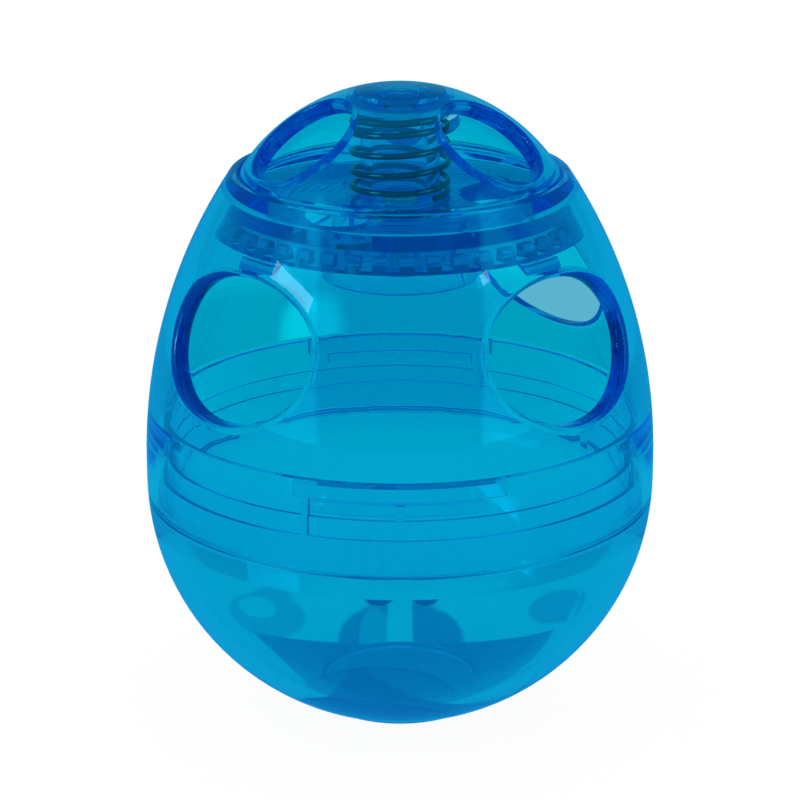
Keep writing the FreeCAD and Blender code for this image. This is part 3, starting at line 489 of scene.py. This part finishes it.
def make_surround(scene, studio):
    """White to the camera and duller through the plastic, which mirrors a blue room with a dark front."""
    world = bpy.data.worlds.new("white_surround")
    scene.world = world
    finish = Finish(world)
    direction = finish.add("ShaderNodeTexCoord", output="Generated")
    across, ahead, up = view_axes(finish, direction)
    seen, through = finish.ray("Is Camera Ray"), finish.ray("Is Transmission Ray")
    mirrored = finish.ray("Is Glossy Ray") * (1.0 - through)
    aside = abs(across) - up * 0.09
    card = aside.ramp(0.56, 0.66, 1.0, 0.0) * ahead.ramp(-0.1, 0.1) * up.ramp(-0.12, 0.02)
    panels = (aside.ramp(0.57, 0.63) * aside.ramp(0.86, 0.94, 1.0, 0.0)
              * ahead.ramp(0.1, 0.25) * up.ramp(-0.25, -0.1))
    behind = ahead.ramp(-0.99, -0.90, 1.0, 0.0)
    glow = finish.mix(card, rgba(studio.glow), CARD_COLOUR)
    glow = finish.mix(behind, glow, BEHIND_COLOUR)
    glow = finish.mix(panels, glow, PANEL_COLOUR)
    # Painted shade: through the plastic the surround shows the blue shade colour instead of white.
    colour = finish.mix(mirrored, finish.mix(through, WHITE, rgba(studio.through_shade)), glow)
    strength = (seen.most(through).most(mirrored)).ramp(0.0, 1.0, 0.6, 1.0)
    surround = finish.add("ShaderNodeBackground", None, {"Color": colour, "Strength": strength})
    finish.add("ShaderNodeOutputWorld", None, {"Surface": surround})


def make_camera(scene, studio):
    lens = bpy.data.cameras.new("camera")
    lens.lens_unit = "FOV"
    lens.sensor_fit = "HORIZONTAL"
    lens.angle = 2.0 * math.atan(LENS_RATIO)
    lens.clip_start = 0.01
    camera = bpy.data.objects.new("camera", lens)
    away = toward_camera(0.0, math.degrees(studio.elevation))
    camera.location = Vector((0.0, 0.0, TOY_MIDDLE)) + away * studio.distance
    camera.rotation_euler = (-away).to_track_quat("-Z", "Y").to_euler()
    scene.collection.objects.link(camera)
    scene.camera = camera


def make_softbox(scene, name, azimuth, elevation, size, radiance):
    """A lamp at one metre, whose mirror image lies on the shell where the photograph shows it."""
    lamp = bpy.data.lights.new(name, "AREA")
    lamp.shape = "RECTANGLE"
    lamp.size, lamp.size_y = size
    lamp.energy = radiance * math.pi * size[0] * size[1]
    lamp.color = LAMP_COLOUR
    box = bpy.data.objects.new(name, lamp)
    toward = toward_camera(azimuth, elevation)
    box.location = Vector((0.0, 0.0, LAMP_AIM)) + toward
    box.rotation_euler = (-toward).to_track_quat("-Z", "Y").to_euler()
    scene.collection.objects.link(box)


class EGG_PT_panel(bpy.types.Panel):
    """Lists the toy's makers and its colours"""
    bl_idname = "EGG_PT_panel"
    bl_label = "Treat Egg"
    bl_space_type = "VIEW_3D"
    bl_region_type = "UI"
    bl_category = "Treat Egg"

    def draw(self, context):
        for operator in MAKERS:
            self.layout.operator(operator.bl_idname)
        for name, group in GROUPS.items():
            box = self.layout.box()
            for item in group.__annotations__:
                box.prop(getattr(context.scene, name), item)


GROUPS = {"egg_plastic": EggPlastic, "egg_steel": EggSteel, "egg_studio": EggStudio}
MAKERS = (EGG_OT_bowl, EGG_OT_shell, EGG_OT_deck, EGG_OT_dome, EGG_OT_spring, EGG_OT_fastening, EGG_OT_stage)


def register():
    for group in GROUPS.values():
        bpy.utils.register_class(group)
    for operator in MAKERS:
        bpy.utils.register_class(operator)
    bpy.utils.register_class(EGG_PT_panel)
    for name, group in GROUPS.items():
        setattr(bpy.types.Scene, name, bpy.props.PointerProperty(type=group))


def unregister():
    for name in GROUPS:
        delattr(bpy.types.Scene, name)
    for item in (EGG_PT_panel,) + MAKERS[::-1] + tuple(GROUPS.values())[::-1]:
        bpy.utils.unregister_class(item)


def main():
    register()
    bpy.ops.egg.bowl()
    bpy.ops.egg.shell()
    bpy.ops.egg.deck()
    bpy.ops.egg.dome()
    bpy.ops.egg.spring()
    bpy.ops.egg.fastening()
    bpy.ops.egg.stage()


if __name__ == "__main__":
    main()
